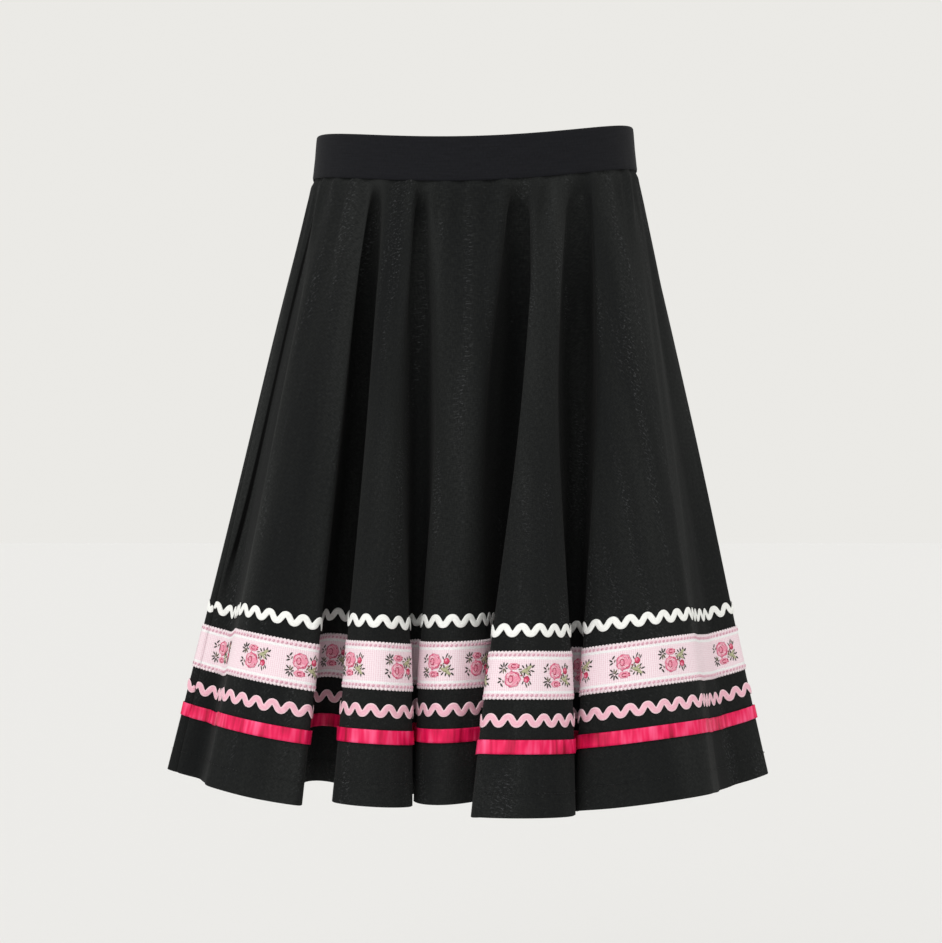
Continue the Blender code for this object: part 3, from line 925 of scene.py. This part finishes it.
# The magenta satin ribbon, a little puckered by its sewing.
satinRibbon = {
    "above": 0.055, "lift": 0.0010, "step": 0.0018, "slot": "magenta_satin", "node": "satin_ribbon",
    "Width": 0.0113, "Thickness": 0.0004, "Rows": 7, "Pucker Depth": 0.0030, "Pucker Length": 0.0058, "Seed": 3.0,
    "Material": satinMaterial,
}
# The wide woven ribbon.
roseRibbon = {
    "above": 0.112, "lift": 0.0004, "step": 0.0030, "slot": "rose_jacquard", "node": "rose_ribbon",
    "Width": 0.0376, "Thickness": 0.0005, "Rows": 15, "Pucker Depth": 0.0006, "Pucker Length": 0.020, "Seed": 8.0,
    "Material": roseGroundMaterial,
}
for name, ribbon in (("satinRibbon", satinRibbon), ("roseRibbon", roseRibbon)):
    for side in sides:
        length = lengthAt(side, ribbon["above"])
        shape = {**ribbon, "Length": length, "Columns": int(length / ribbon["step"])}
        layTrim(bakeTree(f"{name}_{side}", stripNodes, shape), side, ribbon)
print("ribbons laid")

# Rows of stitches: the picots and the chains of the woven ribbon, and the hem's own.
picotEdge = {
    "above": roseRibbon["above"], "lift": 0.0006, "slot": "rose_jacquard", "Material": picotMaterial,
    "Pitch": 0.0031, "Stitch Length": 0.0035, "Stitch Width": 0.0032, "Stitch Height": 0.0009,
    "From Middle": 0.0182, "Both Sides": True, "Unevenness": 0.3, "Seed": 4,
}
chainRow = {
    "above": roseRibbon["above"], "lift": 0.0010, "slot": "rose_jacquard", "Material": chainMaterial,
    "Pitch": 0.0038, "Stitch Length": 0.0030, "Stitch Width": 0.0022, "Stitch Height": 0.0007,
    "From Middle": 0.0161, "Both Sides": True, "Lean": 0.7, "Unevenness": 0.3, "Seed": 5,
}
hemStitches = {
    "above": 0.0185, "lift": 0.0004, "slot": "black_cloth", "Material": blackThreadMaterial,
    "Pitch": 0.0030, "Stitch Length": 0.0023, "Stitch Width": 0.0005, "Stitch Height": 0.0004,
    "Unevenness": 0.05, "Seed": 6,
}
for name, row in (("picotEdge", picotEdge), ("chainRow", chainRow), ("hemStitches", hemStitches)):
    for side in sides:
        shape = {**row, "Length": lengthAt(side, row["above"])}
        layTrim(bakeTree(f"{name}_{side}", rowNodes, shape), side, row)
print("stitches laid")

# A sprig of roses in satin stitch, charted in millimetres from its middle: x, y, length, width, turn.
threads = {
    "petal": (0.96, 0.340, 0.470),
    "blush": (0.99, 0.560, 0.660),
    "rose": (0.86, 0.130, 0.270),
    "deep": (0.50, 0.026, 0.090),
    "bud": (0.72, 0.060, 0.150),
    "pale": (0.50, 0.50, 0.30),
    "olive": (0.130, 0.130, 0.055),
    "dark": (0.028, 0.032, 0.020),
}
sprig = {
    "rosettes": (
        ("petal", -2.3, 3.4, 6.4, 6.5, 7, 0.24),
        ("blush", -4.6, 6.4, 3.0, 2.2, 5, 0.36),
        ("blush", -0.6, -0.6, 3.0, 1.8, 5, 0.36),
        ("blush", -5.6, 0.6, 1.9, 2.4, 5, 0.34),
        ("petal", -2.2, -7.0, 4.6, 2.8, 6, 0.24),
        ("blush", -3.8, -7.6, 1.6, 1.4, 5, 0.34),
        ("bud", 8.7, 3.4, 2.4, 2.7, 5, 0.30),
        ("petal", 8.2, 4.2, 1.0, 1.3, 5, 0.38),
    ),
    # arcs: thread, x, y, half width, half height, from, to, stroke
    "arcs": (
        ("deep", -3.7, 3.2, 1.7, 2.6, 0, 360, 0.8),
        ("deep", -0.6, 1.8, 3.6, 3.0, 270, 340, 0.8),
        ("deep", -2.0, -7.2, 1.9, 1.4, 40, 320, 0.9),
        ("rose", -2.3, 3.4, 5.4, 5.6, 275, 350, 0.9),
        ("rose", -2.3, 3.4, 5.7, 5.8, 95, 165, 0.7),
        ("rose", -4.6, 6.2, 2.9, 2.1, 20, 190, 0.6),
        ("rose", -0.4, -0.4, 2.9, 1.8, 190, 350, 0.6),
        ("rose", -5.6, 0.8, 1.9, 2.5, 120, 260, 0.6),
        ("blush", -2.3, 3.6, 3.9, 4.2, 20, 110, 0.9),
        ("blush", -2.3, 3.2, 3.6, 4.0, 190, 262, 0.9),
        ("deep", 9.0, 3.2, 1.6, 1.8, 220, 350, 0.7),
    ),
    "leaves": (
        ("dark", -10.7, 7.9, 3.8, 1.5, 55), ("dark", -12.8, 5.4, 3.4, 1.5, -35), ("dark", -12.4, 2.9, 3.6, 1.4, 28),
        ("olive", -9.6, 5.0, 2.6, 1.0, 70), ("dark", -12.2, -2.7, 3.6, 1.3, -45), ("dark", -12.5, -5.4, 4.2, 1.3, 14),
        ("dark", -11.9, -7.4, 4.0, 1.3, 46), ("dark", -10.2, -8.6, 4.2, 1.3, 86), ("dark", -8.2, -8.3, 4.4, 1.3, -55),
        ("olive", -10.2, -3.2, 4.6, 1.0, 88), ("olive", -8.7, -3.8, 4.2, 1.3, 58), ("dark", -7.9, -5.6, 3.0, 1.1, 22),
        ("deep", 1.5, 5.9, 2.6, 1.2, 60), ("deep", -1.9, 0.3, 3.2, 0.8, -34), ("deep", 1.7, -6.3, 1.8, 1.6, 30),
        ("bud", 2.0, -8.0, 1.6, 1.4, 0), ("deep", 4.3, 0.4, 1.6, 1.3, 40), ("rose", -3.6, -3.3, 1.6, 1.2, 10),
        ("olive", 4.3, -1.3, 5.4, 1.0, 56), ("olive", 3.4, -4.6, 3.2, 1.0, -12),
        ("pale", 7.6, -3.6, 7.4, 3.6, -20), ("pale", 10.2, -5.9, 6.0, 2.8, -36), ("pale", 9.4, -1.2, 4.6, 2.0, 28),
        ("olive", 8.4, -4.9, 10.4, 0.9, -25), ("dark", 6.8, -0.9, 3.6, 1.2, 98), ("dark", 11.2, -0.6, 3.4, 1.2, 50),
        ("dark", 13.1, -3.2, 3.8, 1.3, 18), ("dark", 13.6, -7.0, 3.4, 1.4, -50), ("dark", 11.1, -8.3, 3.0, 1.2, -76),
        ("dark", 8.3, -7.3, 3.4, 1.2, 78), ("dark", 5.6, -6.6, 3.4, 1.2, 54), ("olive", 10.6, -3.0, 3.0, 1.0, 44),
        ("dark", 8.6, 8.0, 4.8, 1.0, 68), ("dark", 5.8, 6.2, 3.2, 1.0, 112), ("dark", 11.7, 6.2, 3.8, 1.0, 62),
        ("olive", 10.4, 7.4, 2.8, 0.9, 90), ("olive", 6.4, 1.6, 2.4, 0.9, 40),
    ),
    # each pad: corners, lobes' depth, pointedness, the rim's share of its size and of its height
    "ovalCorners": 20,
    "smallCorners": 8,
    "lobeDepth": 0.07,
    "leafPoint": 1.4,
    "leafHeight": 0.35,
    "rimSize": 0.86,
    "rimHeight": 0.7,
    # arcs are rows of pads, one for so many degrees, that lie on the rosettes
    "arcStep": 40,
    "arcReach": 0.62,
    "arcHeight": 0.16,
    "arcBase": 0.30,
}


def ovalOutline(x, y, halfLength, halfWidth, count, turn=0.0, lobes=0, depth=0.0, point=1.0):
    angle = np.arange(count) * 2 * math.pi / count
    reach = 1 + depth * np.cos(lobes * angle)
    along = np.cos(angle) * halfLength * reach
    across = np.sign(np.sin(angle)) * np.abs(np.sin(angle)) ** point * halfWidth * reach
    cosine, sine = math.cos(math.radians(turn)), math.sin(math.radians(turn))
    return np.stack((x + along * cosine - across * sine, y + along * sine + across * cosine), -1)


def padsOf(flip):
    # each pad of a sprig: thread, outline, height, base
    corners, small = sprig["ovalCorners"], sprig["smallCorners"]
    for colour, x, y, wide, high, lobes, height in sprig["rosettes"]:
        yield colour, ovalOutline(x, y * flip, wide, high, corners, 0, lobes, sprig["lobeDepth"]), height, 0
    for colour, x, y, wide, high, start, end, stroke in sprig["arcs"]:
        steps = max(4, int(abs(end - start) / sprig["arcStep"]))
        reach = math.radians(abs(end - start) / steps) * (wide + high) / 2 * sprig["arcReach"]
        for step in range(steps):
            angle = math.radians(start + (end - start) * (step + 0.5) / steps)
            turn = math.degrees(math.atan2(high * math.cos(angle), -wide * math.sin(angle)))
            middle = (x + wide * math.cos(angle), (y + high * math.sin(angle)) * flip)
            outline = ovalOutline(*middle, reach, stroke / 2, small, turn * flip)
            yield colour, outline, sprig["arcHeight"], sprig["arcBase"]
    for colour, x, y, length, width, turn in sprig["leaves"]:
        outline = ovalOutline(x, y * flip, length / 2, width / 2, small, turn * flip, 0, 0, sprig["leafPoint"])
        yield colour, outline, sprig["leafHeight"], 0


def addSprig(name, flip):
    # low pads: each a flat foot, a rim and a crown, closed
    points, faces, colours = [], [], []
    for colour, outline, height, base in padsOf(flip):
        count, start, middle = len(outline), len(points), outline.mean(0)
        rim = middle + (outline - middle) * sprig["rimSize"]
        points += [(x, y, base) for x, y in outline]
        points += [(x, y, base + height * sprig["rimHeight"]) for x, y in rim]
        points += [(*middle, base), (*middle, base + height)]
        foot, crown = start + 2 * count, start + 2 * count + 1
        for place in range(count):
            after = (place + 1) % count
            faces += [
                (foot, start + after, start + place),
                (start + place, start + after, start + count + after, start + count + place),
                (crown, start + count + place, start + count + after),
            ]
        colours += [(*threads[colour], 1)] * (2 * count + 2)
    made = addMesh(name, np.array(points) / 1000, faces)
    layer = made.data.color_attributes.new("thread", "FLOAT_COLOR", "POINT")
    layer.data.foreach_set("color", np.array(colours, np.float32).ravel())
    return made


plainSprig, turnedSprig = addSprig("sprig", 1.0), addSprig("sprigTurned", -1.0)
sprigRow = {
    "above": roseRibbon["above"],
    "lift": 0.0010,
    "slot": "rose_jacquard",
    "Pitch": 0.0405,
    "Start": 0.020,
    "end": 0.013,
    "Sprig": plainSprig,
    "Turned Sprig": turnedSprig,
    "Material": sprigMaterial,
    # on the front: how many, then the number of a sprig and its place along the ribbon, a little uneven as sewn
    "frontCount": 30,
    "places": (
        (0, 0.0240), (1, 0.0590), (3, 0.1194), (4, 0.1619), (6, 0.2676), (8, 0.3794), (9, 0.4242), (12, 0.5647),
        (13, 0.6030), (19, 0.8184), (20, 0.8551), (23, 1.0180), (24, 1.0616), (25, 1.1026), (28, 1.2095), (29, 1.2500),
    ),
    "foldedIn": (2, 26, 27),  # sprigs that the creases take in
}


def easeSprigs(mesh):
    start, pitch, places = sprigRow["Start"], sprigRow["Pitch"], np.array(sprigRow["places"])
    flat = pointsOf(mesh)
    numbers = np.round((flat[:, 0] - start) / pitch)
    flat[:, 0] += np.interp(numbers, places[:, 0], places[:, 1]) - start - numbers * pitch
    movePoints(mesh, flat)
    rows = bmesh.new()
    rows.from_mesh(mesh)
    hidden = [corner for corner, number in zip(rows.verts, numbers) if number in sprigRow["foldedIn"]]
    bmesh.ops.delete(rows, geom=hidden, context="VERTS")
    rows.to_mesh(mesh)
    rows.free()


for side in sides:
    room = lengthAt(side, sprigRow["above"]) - sprigRow["Start"] - sprigRow["end"]
    count = sprigRow["frontCount"] if side == "front" else int(room / sprigRow["Pitch"]) + 1
    piece = bakeTree(f"roseSprigs_{side}", sprigNodes, {**sprigRow, "Count": count})
    if side == "front":
        easeSprigs(piece.data)
    layTrim(piece, side, sprigRow)
    print(f"{side}: {count} sprigs, {len(piece.data.polygons)} faces")
for spare in (plainSprig, turnedSprig):
    bpy.data.objects.remove(spare)

dress(waistbandPiece, "band_elastic", "waistband")
for side in sides:
    dress(panels[side], "black_cloth", f"{side}_panel")

# Camera, light and floor.
studio = {
    "cameraPlace": (-0.0035, -1.600, -0.303),
    "sensorWidth": 36.0,
    "lens": 69.41,
    "shiftY": 0.0302,
    "background": (0.83, 0.82, 0.79),
    "keyStrength": 1.05,
    "keySpread": 55.0,
    "keyTurn": (52.0, 0.0, -28.0),
    "floorHeight": -1.05,
    "floorReach": 30,
    "floorTone": (0.815, 0.815, 0.815),
}
camera = addObject("camera", bpy.data.cameras.new("camera"))
camera.location = studio["cameraPlace"]
camera.rotation_euler = (math.radians(90), 0, 0)
camera.data.sensor_width = studio["sensorWidth"]
camera.data.lens = studio["lens"]
camera.data.shift_y = studio["shiftY"]
bpy.context.scene.camera = camera

world = bpy.data.worlds.new("studio")
world.use_nodes = True
background = world.node_tree.nodes["Background"]
background.inputs["Color"].default_value = (*studio["background"], 1)
background.inputs["Strength"].default_value = 1.0
bpy.context.scene.world = world

key = addObject("key", bpy.data.lights.new("key", "SUN"))
key.data.energy = studio["keyStrength"]
key.data.angle = math.radians(studio["keySpread"])
key.rotation_euler = [math.radians(turn) for turn in studio["keyTurn"]]

floorMaterial, _, floorShader = newFinish("paleFloor", 0.9, 0.0, 0.5, 0.1)
floorShader.inputs["Base Color"].default_value = (*studio["floorTone"], 1)
reach, height = studio["floorReach"], studio["floorHeight"]
corners = [(x * reach, y * reach, height) for x, y in ((-1, -1), (1, -1), (1, 1), (-1, 1))]
floor = addMesh("floor", corners, [(0, 1, 2, 3)], floorMaterial)
bpy.context.scene.view_settings.view_transform = "Standard"
print("studio set")
